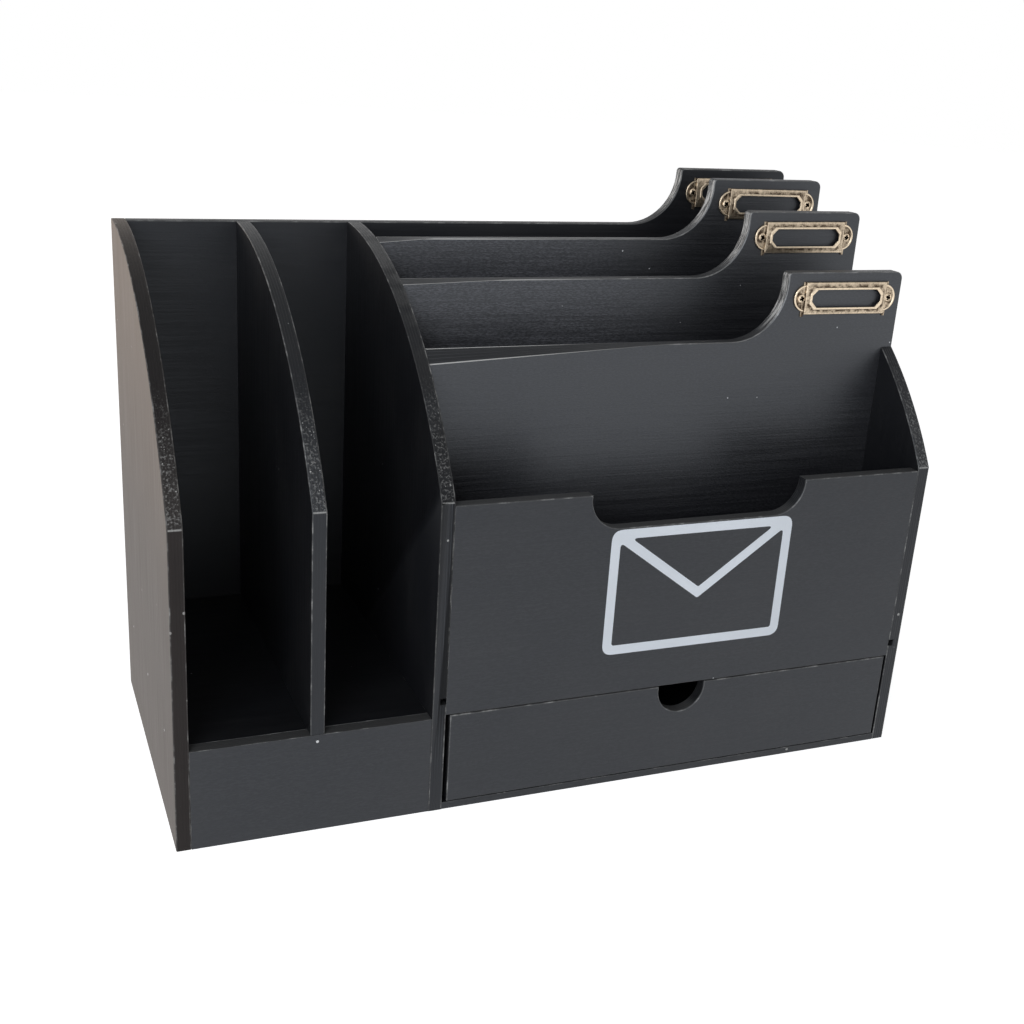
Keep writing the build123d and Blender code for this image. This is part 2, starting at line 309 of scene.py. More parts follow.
def painted_wood(name, order, fineness=1.0, grain=1.0, kink=None, sheen=0.42, specks=1.0,
                 gloss=0.55, haze_and_painted_reflection=0.0, arris_wear_and_highlight=0.06, painted_left_highlight=0.0, dulled_and_painted_light=0.0, painted_top_light=0.02,
                 painted_shade_span=(0.0, 1.0), bevel_wear_and_highlight=0.0, tint=(0.88, 0.93, 1.0)):
    """Black satin paint over sanded plywood, with painted highlights on its edges and painted light
    and shade on its faces. The first letter of order is the grain's axis.
    """
    if name in bpy.data.materials:
        return bpy.data.materials[name]
    finish = bpy.context.scene.sorter_finish
    material, tree, shader = new_material(name)
    place, parts = object_millimetres(tree, order)
    through = put(tree, "ShaderNodeAttribute", attribute_name="through").outputs["Fac"]
    edges = use(tree, board_edge_group(), {"Through": through, "Vector": place, "Plies": 5.0})
    wood = use(tree, brushed_grain_group(), {"Vector": place, "Fineness": fineness})
    dust = use(tree, specks_group(), {"Vector": place, "Spacing": 9.0, "Size": 0.55,
                                      "Kept": 0.10 * specks})
    grit = use(tree, specks_group(), {"Vector": place, "Spacing": 1.5, "Size": 0.34,
                                      "Kept": 0.5})

    # paint, a little thinner on the high fibres and in clouds
    thin = maths(tree, "MULTIPLY", ramp(tree, wood["Clouds"], 0.35, 0.7),
                 ramp(tree, wood["Streaks"], 0.35, 0.75, 0.35, 1.0))
    base = blend_colours(tree, thin, finish.paint, finish.thin_paint)

    dulled_and_painted_light_mask = maths(tree, "MULTIPLY", ramp(tree, wood["Fibres"], 0.40, 0.62, 0.15, 1.0),
                   ramp(tree, wood["Streaks"], 0.35, 0.65, 0.5, 1.0))
    # dulled paint, partly painted light: more of it on the boards that stand in shade; over a given
    # span of X it fades out to the right, as painted shade where the tab in front hides the room
    dulled_and_painted_light_mask = maths(tree, "MULTIPLY", maths(tree, "MULTIPLY", dulled_and_painted_light_mask, dulled_and_painted_light),
                   maths(tree, "SUBTRACT", 1.0, edges["Edge"]))
    if painted_shade_span[1] > 1.0:
        dulled_and_painted_light_mask = maths(tree, "MULTIPLY", dulled_and_painted_light_mask, ramp(tree, parts["X"], *painted_shade_span, 1.0, 0.1))
    base = blend_colours(tree, dulled_and_painted_light_mask, base, finish.dulled_and_painted_light)
    if haze_and_painted_reflection:
        # painted reflection: the outer face is made lighter and warmer towards its top, where it
        # mirrors the bright room
        high = maths(tree, "MULTIPLY", ramp(tree, parts["Z"], 90.0, 268.0, 0.0, 1.0),
                     ramp(tree, through, 0.0, 0.01, 1.0, 0.0))
        base = blend_colours(tree, high, base, finish.painted_reflection)

    # rubbed arrises and sanded ply edges; the pale arrises are partly wear and partly a painted
    # highlight
    patches = noise(tree, scaled(tree, place, (0.11, 0.11, 0.11)), 1.0, 4.0, 0.7)
    arris_wear_and_highlight_mask = maths(tree, "MULTIPLY", edges["Arris"], ramp(tree, patches, 0.45, 0.78, arris_wear_and_highlight, 0.6))
    # painted highlight: the sanded edges that face left get pale streaks along their plies,
    # brightest where they face straight left
    facing = put(tree, "ShaderNodeSeparateXYZ",
                 {0: put(tree, "ShaderNodeTexCoord").outputs["Normal"]}).outputs
    streak = noise(tree, scaled(tree, place, (0.10, 0.10, 1.5)), 1.0, 4.0, 0.7)
    left_highlight_mask = maths(tree, "MULTIPLY", maths(tree, "MULTIPLY", edges["Edge"],
                                          ramp(tree, facing["X"], -0.5, -0.98)),
                  ramp(tree, streak, 0.47, 0.54, 0.01, painted_left_highlight))
    # painted light: the edges that face up are paler, as if lit from above, and the arris of a
    # bevelled left end is pale, partly worn and partly a painted highlight
    top_light_mask = maths(tree, "MULTIPLY", maths(tree, "MULTIPLY", edges["Edge"],
                                           ramp(tree, facing["Z"], 0.6, 0.95)), painted_top_light)
    bevelled = maths(tree, "MULTIPLY", edges["Arris"],
                     ramp(tree, parts["X"], 75.0, -30.0, 0.0, bevel_wear_and_highlight))
    # chips on the edges
    chips = use(tree, specks_group(), {"Vector": place, "Spacing": 11.0, "Size": 0.8,
                                       "Kept": 0.30})
    chipped = maths(tree, "MULTIPLY", chips["Mask"],
                    maths(tree, "MAXIMUM", edges["Edge"], edges["Arris"]))
    wear_and_highlight_mask = maths(tree, "MAXIMUM", maths(tree, "MAXIMUM", arris_wear_and_highlight_mask, left_highlight_mask),
                 maths(tree, "MULTIPLY", chipped, 0.6))
    wear_and_highlight_mask = maths(tree, "MAXIMUM", wear_and_highlight_mask, maths(tree, "MAXIMUM", top_light_mask, bevelled))
    pits = noise(tree, scaled(tree, place, (0.9, 0.9, 0.9)), 1.0, 2.0, 0.6)
    if kink is not None:
        # just over the kink the sanded end grain is rough, with pale flecks along its plies and
        # painted glints from its pits, and a painted highlight runs along the kink; all on the front
        # only
        in_front = ramp(tree, parts["Y"], -10.0, 10.0, 1.0, 0.0)
        low_arch = maths(tree, "MULTIPLY",
                         ramp(tree, parts["Z"], kink - 0.6, kink + 0.2),
                         ramp(tree, parts["Z"], kink + 14.0, kink + 62.0, 1.0, 0.0))
        low_arch = maths(tree, "MULTIPLY", low_arch, in_front)
        rough_end = maths(tree, "MULTIPLY", edges["Edge"], low_arch)
        painted_glints = maths(tree, "MULTIPLY", rough_end,
                        ramp(tree, pits, 0.50, 0.70, 0.02, 0.30))
        rows = ramp(tree, edges["Plies"], 0.3, 0.9, 0.15, 1.0)
        flecks = maths(tree, "MULTIPLY", maths(tree, "MULTIPLY", rough_end, grit["Mask"]), rows)
        from_kink = maths(tree, "ABSOLUTE", maths(tree, "SUBTRACT", parts["Z"], kink))
        painted_kink_highlight = maths(tree, "MULTIPLY", maths(tree, "MULTIPLY", edges["Edge"], in_front),
                       ramp(tree, from_kink, 0.15, 0.6, 0.55, 0.0))
        wear_and_highlight_mask = maths(tree, "MAXIMUM", maths(tree, "MAXIMUM", wear_and_highlight_mask, painted_kink_highlight),
                     maths(tree, "MAXIMUM", painted_glints, flecks))
    # the pale marks are wear and painted highlights together
    wear_and_highlight_mask = maths(tree, "MULTIPLY", wear_and_highlight_mask, finish.wear_and_highlight_amount, clamp=True)
    base = blend_colours(tree, wear_and_highlight_mask, base, finish.bare_and_highlight)
    base = blend_colours(tree, dust["Mask"], base, finish.dust)
    tree.links.new(base, shader.inputs["Base Color"])

    roughness = maths(tree, "ADD", ramp(tree, wood["Streaks"], 0.3, 0.7, sheen - 0.05, sheen + 0.06),
                      maths(tree, "MULTIPLY", edges["Edge"], 0.04))
    roughness = maths(tree, "MAXIMUM", roughness, maths(tree, "MULTIPLY", dust["Mask"], 0.8))
    tree.links.new(roughness, shader.inputs["Roughness"])

    # height in millimetres: fibres everywhere, plies and pits on the sawn edges
    height = maths(tree, "ADD", maths(tree, "MULTIPLY", wood["Fibres"], 0.022 * grain),
                   maths(tree, "MULTIPLY", wood["Streaks"], 0.03 * grain))
    height = maths(tree, "ADD", height,
                   maths(tree, "MULTIPLY", maths(tree, "MULTIPLY", edges["Plies"], edges["Edge"]),
                         0.10))
    if kink is not None:
        height = maths(tree, "ADD", height,
                       maths(tree, "MULTIPLY", maths(tree, "MULTIPLY", pits, rough_end), 0.45))
    height = maths(tree, "ADD", height, maths(tree, "MULTIPLY", dust["Mask"], 0.12))
    bump = put(tree, "ShaderNodeBump", {"Strength": 1.0, "Distance": MM, "Height": height})
    tree.links.new(bump.outputs[0], shader.inputs["Normal"])
    shader.inputs["Specular IOR Level"].default_value = gloss
    shader.inputs["Specular Tint"].default_value = (*tint, 1.0)
    if haze_and_painted_reflection:
        shader.inputs["Sheen Weight"].default_value = haze_and_painted_reflection
        shader.inputs["Sheen Roughness"].default_value = 0.35
        shader.inputs["Sheen Tint"].default_value = (1.0, 0.74, 0.56, 1.0)
    return material


def aged_brass():
    """Stamped brass with dark patina in its hollows, rubbed bright on its ridges; the patina also
    stands in as painted shade in the creases by the lip and on the rim's sides.
    """
    if "aged_brass" in bpy.data.materials:
        return bpy.data.materials["aged_brass"]
    finish = bpy.context.scene.sorter_finish
    material, tree, shader = new_material("aged_brass")
    place, _ = object_millimetres(tree)
    ridge = put(tree, "ShaderNodeAttribute", attribute_name="ridge").outputs["Fac"]
    cloud = noise(tree, scaled(tree, place, (0.35, 0.35, 0.35)), 1.0, 4.0, 0.65)
    grain = noise(tree, scaled(tree, place, (1.1, 1.1, 1.1)), 1.0, 3.0, 0.65)
    # patina on the low parts, partly painted shade in the creases and on the rim's sides
    patina_and_shade = maths(tree, "MULTIPLY", ramp(tree, ridge, 0.1, 0.85, 1.0, 0.0),
                    ramp(tree, cloud, 0.36, 0.62, 0.40, 1.0))
    spots = ramp(tree, grain, 0.52, 0.64, 0.0, 0.25)
    patina_and_shade = maths(tree, "ADD", patina_and_shade, spots, clamp=True)
    tree.links.new(blend_colours(tree, patina_and_shade, finish.brass, finish.patina_and_shade_colour),
                   shader.inputs["Base Color"])
    shader.inputs["Metallic"].default_value = 1.0
    tree.links.new(ramp(tree, patina_and_shade, 0.0, 1.0, 0.38, 0.6), shader.inputs["Roughness"])
    bump = put(tree, "ShaderNodeBump", {"Strength": 1.0, "Distance": MM,
                                        "Height": maths(tree, "MULTIPLY", grain, 0.10)})
    tree.links.new(bump.outputs[0], shader.inputs["Normal"])
    return material


def plain_wire():
    """Bright steel of the brads."""
    if "brad_steel" in bpy.data.materials:
        return bpy.data.materials["brad_steel"]
    material, tree, shader = new_material("brad_steel")
    place, _ = object_millimetres(tree)
    drawn = noise(tree, scaled(tree, place, (1.5, 1.5, 1.5)), 1.0, 3.0)
    tree.links.new(blend_colours(tree, drawn, (0.42, 0.42, 0.43), (0.6, 0.6, 0.6)),
                   shader.inputs["Base Color"])
    shader.inputs["Metallic"].default_value = 1.0
    tree.links.new(ramp(tree, drawn, 0.0, 1.0, 0.25, 0.45), shader.inputs["Roughness"])
    return material


def motif_paint():
    """White paint brushed on the black front."""
    if "motif_paint" in bpy.data.materials:
        return bpy.data.materials["motif_paint"]
    finish = bpy.context.scene.sorter_finish
    material, tree, shader = new_material("motif_paint")
    place, _ = object_millimetres(tree)
    wood = use(tree, brushed_grain_group(), {"Vector": place, "Fineness": 1.0})
    dull = tuple(0.93 * value for value in finish.motif)
    tree.links.new(blend_colours(tree, ramp(tree, wood["Clouds"], 0.3, 0.7), finish.motif, dull),
                   shader.inputs["Base Color"])
    tree.links.new(ramp(tree, wood["Streaks"], 0.3, 0.7, 0.42, 0.55), shader.inputs["Roughness"])
    bump = put(tree, "ShaderNodeBump", {"Strength": 1.0, "Distance": MM,
                                        "Height": maths(tree, "MULTIPLY", wood["Fibres"], 0.02)})
    tree.links.new(bump.outputs[0], shader.inputs["Normal"])
    return material


# ---- mesh helpers -------------------------------------------------------------------------
def link(name, mesh, material):
    obj = bpy.data.objects.new(name, mesh)
    bpy.context.scene.collection.objects.link(obj)
    mesh.materials.clear()
    mesh.materials.append(material)
    return obj


def seat(obj, body, slot, *nodes):
    """Let a finished piece ride on its body in place of its CAD nodes."""
    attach(obj, body)
    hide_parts(*nodes)
    return obj


def cad_copy(node):
    """A merged bmesh copy of a CAD node, with its flat faces whole again."""
    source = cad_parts[node].data
    shape = bmesh.new()
    corners = [shape.verts.new(vertex.co) for vertex in source.vertices]
    for polygon in source.polygons:
        shape.faces.new([corners[index] for index in polygon.vertices])
    bmesh.ops.remove_doubles(shape, verts=shape.verts, dist=2e-6)
    bmesh.ops.dissolve_limit(shape, angle_limit=math.radians(0.4), verts=shape.verts,
                             edges=shape.edges, delimit=set())
    return shape


def round_arrises(shape, radius, segments=2):
    sharp = [edge for edge in shape.edges
             if len(edge.link_faces) == 2 and edge.calc_face_angle(0.0) > math.radians(24)]
    bmesh.ops.bevel(shape, geom=sharp, offset=radius, offset_type="OFFSET", segments=segments,
                    profile=0.5, affect="EDGES", clamp_overlap=True)


def board_mesh(shape, name, axis, low, high):
    """Finish a board's bmesh: smooth shading, and the place through its thickness."""
    mesh = bpy.data.meshes.new(name)
    shape.to_mesh(mesh)
    shape.free()
    mesh.shade_smooth()
    through = mesh.attributes.new("through", "FLOAT", "POINT")
    for vertex, value in zip(mesh.vertices, through.data):
        value.value = min(1.0, max(0.0, (vertex.co[axis] - low) / (high - low)))
    return mesh


def even_normals(obj):
    """Flat faces stay flat between their rounded arrises."""
    modifier = obj.modifiers.new("even_normals", "WEIGHTED_NORMAL")
    modifier.weight = 100
    return obj


def dress_board(node, axis, material, body, arris):
    low, high = (corner[axis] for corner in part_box(node))
    shape = cad_copy(node)
    round_arrises(shape, arris)
    mesh = board_mesh(shape, node + "_painted", axis, low, high)
    return seat(even_normals(link(node + "_painted", mesh, material)), body, "black_wood", node)


# ---- geometry node helpers ----------------------------------------------------------------
def shape_tree(name, inputs):
    """A new geometry node tree with named inputs, and its input and output nodes."""
    tree = bpy.data.node_groups.new(name, "GeometryNodeTree")
    tree.interface.new_socket(name="Geometry", in_out="INPUT", socket_type="NodeSocketGeometry")
    for socket, kind in inputs:
        tree.interface.new_socket(name=socket, in_out="INPUT", socket_type=kind)
    tree.interface.new_socket(name="Geometry", in_out="OUTPUT", socket_type="NodeSocketGeometry")
    entry = tree.nodes.new("NodeGroupInput")
    leave = tree.nodes.new("NodeGroupOutput")
    return tree, entry.outputs, leave.inputs


def end_tree(tree, leave, geometry, material):
    real = put(tree, "GeometryNodeRealizeInstances", {"Geometry": geometry})
    coated = put(tree, "GeometryNodeSetMaterial", {"Geometry": real.outputs[0],
                                                   "Material": material})
    tree.links.new(coated.outputs[0], leave["Geometry"])


def grow(tree, name, values, source=None):
    """Run a tree on a mesh with its inputs set, and give back the plain mesh."""
    seed = bpy.data.objects.new(name + "_seed", source or bpy.data.meshes.new(name + "_seed"))
    bpy.context.scene.collection.objects.link(seed)
    modifier = seed.modifiers.new(name, "NODES")
    modifier.node_group = tree
    for item in tree.interface.items_tree:
        if item.in_out == "INPUT" and item.name in values:
            modifier[item.identifier] = values[item.name]
    bpy.context.view_layer.update()
    depsgraph = bpy.context.evaluated_depsgraph_get()
    mesh = bpy.data.meshes.new_from_object(seed.evaluated_get(depsgraph), depsgraph=depsgraph)
    seed.modifiers.clear()
    bpy.data.objects.remove(seed)
    mesh.name = name
    return mesh


# ---- uprights -----------------------------------------------------------------------------
def upright_tree(material):
    """An upright: a level-topped arch worked out from its rise and depth, given a thickness."""
    sizes = ["Left Face", "Board", "Front", "Back", "Rear", "Bottom", "Wall Height",
             "Kink Height", "Relief Left", "Relief Width", "Relief Bottom", "Relief Height"]
    tree, given, leave = shape_tree("arched_upright",
                                    [(size, "NodeSocketFloat") for size in sizes]
                                    + [("Arch Points", "NodeSocketInt"),
                                       ("Relief", "NodeSocketBool")])

    def calc(operation, *values):
        return maths(tree, operation, *values)

    rise = calc("SUBTRACT", given["Wall Height"], given["Kink Height"])
    depth = calc("SUBTRACT", given["Back"], given["Front"])
    radius = calc("DIVIDE", calc("ADD", calc("MULTIPLY", depth, depth),
                                 calc("MULTIPLY", rise, rise)), calc("MULTIPLY", rise, 2.0))
    start = calc("ARCSINE", calc("DIVIDE", calc("SUBTRACT", given["Back"], given["Rear"]), radius))
    end = calc("ARCSINE", calc("DIVIDE", depth, radius))
    total = put(tree, "FunctionNodeIntegerMath", {0: given["Arch Points"], 1: 2},
                operation="ADD").outputs[0]
    line = put(tree, "GeometryNodeCurvePrimitiveLine")
    outline = put(tree, "GeometryNodeResampleCurve", {"Curve": line.outputs[0], "Count": total})
    index = put(tree, "GeometryNodeInputIndex").outputs[0]
    last = calc("SUBTRACT", given["Arch Points"], 1.0)
    along = calc("DIVIDE", index, last)
    angle = calc("ADD", start, calc("MULTIPLY", along, calc("SUBTRACT", end, start)))
    arch = put(tree, "ShaderNodeCombineXYZ", {
        "X": calc("SUBTRACT", given["Back"], calc("MULTIPLY", radius, calc("SINE", angle))),
        "Y": calc("ADD", calc("SUBTRACT", given["Wall Height"], radius),
                  calc("MULTIPLY", radius, calc("COSINE", angle)))}).outputs[0]
    foot_front = put(tree, "ShaderNodeCombineXYZ", {"X": given["Front"], "Y": given["Bottom"]})
    foot_rear = put(tree, "ShaderNodeCombineXYZ", {"X": given["Rear"], "Y": given["Bottom"]})
    past_arch = put(tree, "FunctionNodeCompare", {0: index, 1: calc("ADD", last, 0.5)},
                    operation="GREATER_THAN").outputs[0]
    past_front = put(tree, "FunctionNodeCompare", {0: index, 1: calc("ADD", last, 1.5)},
                     operation="GREATER_THAN").outputs[0]
    feet = put(tree, "GeometryNodeSwitch", {"Switch": past_front, "False": foot_front.outputs[0],
                                            "True": foot_rear.outputs[0]}, input_type="VECTOR")
    corner = put(tree, "GeometryNodeSwitch", {"Switch": past_arch, "False": arch,
                                              "True": feet.outputs[0]}, input_type="VECTOR")
    shaped = put(tree, "GeometryNodeSetPosition", {"Geometry": outline.outputs[0],
                                                   "Position": corner.outputs[0]})
    closed = put(tree, "GeometryNodeSetSplineCyclic", {0: shaped.outputs[0], "Cyclic": True})
    face = put(tree, "GeometryNodeFillCurve", {0: closed.outputs[0]}, mode="NGONS")
    thick = put(tree, "GeometryNodeExtrudeMesh", {
        "Mesh": face.outputs[0], "Offset Scale": given["Board"],
        "Offset": (0.0, 0.0, 1.0), "Individual": False})
    under = put(tree, "GeometryNodeFlipFaces", {0: face.outputs[0]})
    solid = put(tree, "GeometryNodeJoinGeometry")
    tree.links.new(thick.outputs[0], solid.inputs[0])
    tree.links.new(under.outputs[0], solid.inputs[0])
    joined = put(tree, "GeometryNodeMergeByDistance", {"Geometry": solid.outputs[0],
                                                       "Distance": 1e-6})
    # the outline lies in X and Y: stand it up across the case
    flat = put(tree, "ShaderNodeSeparateXYZ", {0: put(tree, "GeometryNodeInputPosition").outputs[0]})
    upright = put(tree, "ShaderNodeCombineXYZ", {
        "X": calc("ADD", flat.outputs["Z"], given["Left Face"]),
        "Y": flat.outputs["X"], "Z": flat.outputs["Y"]})
    stood = put(tree, "GeometryNodeSetPosition", {"Geometry": joined.outputs[0],
                                                  "Position": upright.outputs[0]})
    # the open end of the joint beside the mail front panel
    cutter_size = put(tree, "ShaderNodeCombineXYZ", {
        "X": given["Relief Width"], "Y": calc("MULTIPLY", given["Board"], 2.0),
        "Z": given["Relief Height"]})
    cutter = put(tree, "GeometryNodeMeshCube", {"Size": cutter_size.outputs[0]})
    cutter_place = put(tree, "ShaderNodeCombineXYZ", {
        "X": calc("ADD", given["Relief Left"], calc("MULTIPLY", given["Relief Width"], 0.5)),
        "Y": given["Front"],
        "Z": calc("ADD", given["Relief Bottom"], calc("MULTIPLY", given["Relief Height"], 0.5))})
    placed = put(tree, "GeometryNodeTransform", {"Geometry": cutter.outputs[0],
                                                 "Translation": cutter_place.outputs[0]})
    cut = put(tree, "GeometryNodeMeshBoolean", operation="DIFFERENCE", solver="EXACT")
    tree.links.new(stood.outputs[0], cut.inputs[0])
    tree.links.new(placed.outputs[0], cut.inputs[1])
    chosen = put(tree, "GeometryNodeSwitch", {"Switch": given["Relief"],
                                              "False": stood.outputs[0],
                                              "True": cut.outputs[0]}, input_type="GEOMETRY")
    end_tree(tree, leave, chosen.outputs[0], material)
    return tree


class SORTER_OT_uprights(Operator):
    """Make the four arched boards that stand across the case"""
    bl_idname = "sorter.uprights"
    bl_label = "Uprights"

    def execute(self, context):
        sizes = context.scene.sorter_sizes
        tree = None
        for node, kink, relief_left in (
                ("left_end_panel", sizes.left_kink_height, None),
                ("slot_divider", sizes.kink_height, None),
                ("bay_partition", sizes.kink_height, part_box("bay_partition")[1].x - 3.2 * MM),
                ("right_end_panel", sizes.kink_height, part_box("right_end_panel")[0].x)):
            low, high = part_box(node)
            outer = node == "left_end_panel"
            # the left end panel's outer face gets a painted reflection towards its top
            material = painted_wood("painted_" + node, "ZYX", fineness=0.8, grain=0.7,
                                    kink=kink / MM, sheen=0.50 if outer else 0.45,
                                    gloss=0.3 if outer else 0.45, haze_and_painted_reflection=0.14 if outer else 0.0,
                                    tint=(1.0, 0.84, 0.74) if outer else (0.88, 0.93, 1.0))
            tree = tree or upright_tree(material)
            mesh = grow(tree, node, {
                "Left Face": low.x, "Board": high.x - low.x, "Front": cad_low.y,
                "Back": cad_high.y, "Rear": high.y, "Bottom": low.z,
                "Wall Height": sizes.wall_height, "Kink Height": kink,
                "Arch Points": sizes.arch_points, "Relief": relief_left is not None,
                "Relief Left": relief_left or 0.0, "Relief Width": 3.2 * MM,
                "Relief Bottom": 59.4 * MM, "Relief Height": 3.4 * MM})
            shape = bmesh.new()
            shape.from_mesh(mesh)
            bmesh.ops.remove_doubles(shape, verts=shape.verts, dist=2e-6)
            round_arrises(shape, sizes.arch_arris, 3)
            mesh = board_mesh(shape, node + "_painted", 0, low.x, high.x)
            obj = even_normals(link(node + "_painted", mesh, material))
            seat(obj, "case", "black_wood", node)
        return {"FINISHED"}


# ---- flat boards --------------------------------------------------------------------------
class SORTER_OT_dividers(Operator):
    """Dress the tabbed letter dividers and the back panel"""
    bl_idname = "sorter.dividers"
    bl_label = "Dividers"

    def execute(self, context):
        sizes = context.scene.sorter_sizes
        material = painted_wood("painted_dividers", "XZY", fineness=1.0, grain=3.0, sheen=0.41,
                                specks=1.6, gloss=0.85, arris_wear_and_highlight=0.20, painted_left_highlight=1.0, dulled_and_painted_light=0.22,
                                bevel_wear_and_highlight=1.0)
        dress_board("mail_divider_front", 1, material, "case", sizes.board_arris)
        # the rear dividers get far more of the dulled paint, as painted light, and it fades out to
        # the right as painted shade
        material = painted_wood("painted_rear_dividers", "XZY", fineness=1.0, grain=3.0,
                                sheen=0.43, specks=1.6, gloss=0.85, arris_wear_and_highlight=0.20, painted_left_highlight=1.0,
                                dulled_and_painted_light=0.85, painted_shade_span=(20.0, 105.0), bevel_wear_and_highlight=1.0)
        for place in ("middle", "rear"):
            dress_board("mail_divider_" + place, 1, material, "case", sizes.board_arris)
        material = painted_wood("painted_back", "XZY", fineness=1.0, grain=2.0, sheen=0.42,
                                gloss=0.45, arris_wear_and_highlight=0.15, painted_left_highlight=1.0)
        dress_board("back_panel", 1, material, "case", sizes.board_arris)
        return {"FINISHED"}


class SORTER_OT_case_boards(Operator):
    """Dress the mail front panel, the toe board, the floors and the base"""
    bl_idname = "sorter.case_boards"
    bl_label = "Case boards"

    def execute(self, context):
        sizes = context.scene.sorter_sizes
        facing = painted_wood("painted_fronts", "XZY", fineness=0.8, grain=1.2, sheen=0.42,
                              arris_wear_and_highlight=0.09, dulled_and_painted_light=0.12, painted_top_light=0.09)
        lying = painted_wood("painted_floors", "XYZ", fineness=1.0, grain=0.8, sheen=0.45)
        for node in ("mail_front_panel", "toe_board"):
            dress_board(node, 1, facing, "case", sizes.board_arris)
        for node in ("slot_floor", "mail_floor", "base_panel"):
            dress_board(node, 2, lying, "case", sizes.board_arris)
        return {"FINISHED"}


class SORTER_OT_drawer(Operator):
    """Dress the drawer's front, sides, back and bottom"""
    bl_idname = "sorter.drawer"
    bl_label = "Drawer"

    def execute(self, context):
        arris = context.scene.sorter_sizes.board_arris
        facing = painted_wood("painted_fronts", "XZY", fineness=0.8, grain=1.2, sheen=0.42,
                              arris_wear_and_highlight=0.09, dulled_and_painted_light=0.12, painted_top_light=0.09)
        side = painted_wood("painted_drawer_sides", "YZX", fineness=1.0, grain=1.0, sheen=0.5)
        across = painted_wood("painted_drawer_back", "XZY", fineness=1.0, grain=1.0, sheen=0.5)
        bottom = painted_wood("painted_drawer_bottom", "XYZ", fineness=1.0, grain=0.8, sheen=0.5)
        for node, axis, material in (("drawer_front", 1, facing), ("drawer_left_side", 0, side),
                                     ("drawer_right_side", 0, side), ("drawer_back", 1, across),
                                     ("drawer_bottom", 2, bottom)):
            dress_board(node, axis, material, "drawer", arris)
        return {"FINISHED"}


# ---- label holders ------------------------------------------------------------------------
def tab_points(name, offsets):
    """A mesh of points on the front faces of the four tabs, about each label's centre."""
    points = []
    for tab in TABS:
        low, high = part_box("label_holder_" + tab)
        centre = Vector(((low.x + high.x) / 2, high.y, (low.z + high.z) / 2))
        points += [centre + Vector((offset, 0.0, 0.0)) for offset in offsets]
    mesh = bpy.data.meshes.new(name)
    mesh.from_pydata(points, [], [])
    return mesh


def octagon(half_width, half_height, cut, height):
    """A loop of eight points: a rectangle with its corners cut, at a height over the tab."""
    a, b, c = half_width, half_height, cut
    flat = [(-a + c, -b), (a - c, -b), (a, -b + c), (a, b - c), (a - c, b), (-a + c, b),
            (-a, b - c), (-a, -b + c)]
    return [Vector((x, y, height)) * MM for x, y in flat]


def skin(shape, loops):
    """Faces between one loop of points and the next."""
    rings = [[shape.verts.new(point) for point in loop] for loop in loops]
    for first, second in zip(rings, rings[1:] + rings[:1]):
        for index in range(len(first)):
            after = (index + 1) % len(first)
            shape.faces.new((first[index], first[after], second[after], second[index]))


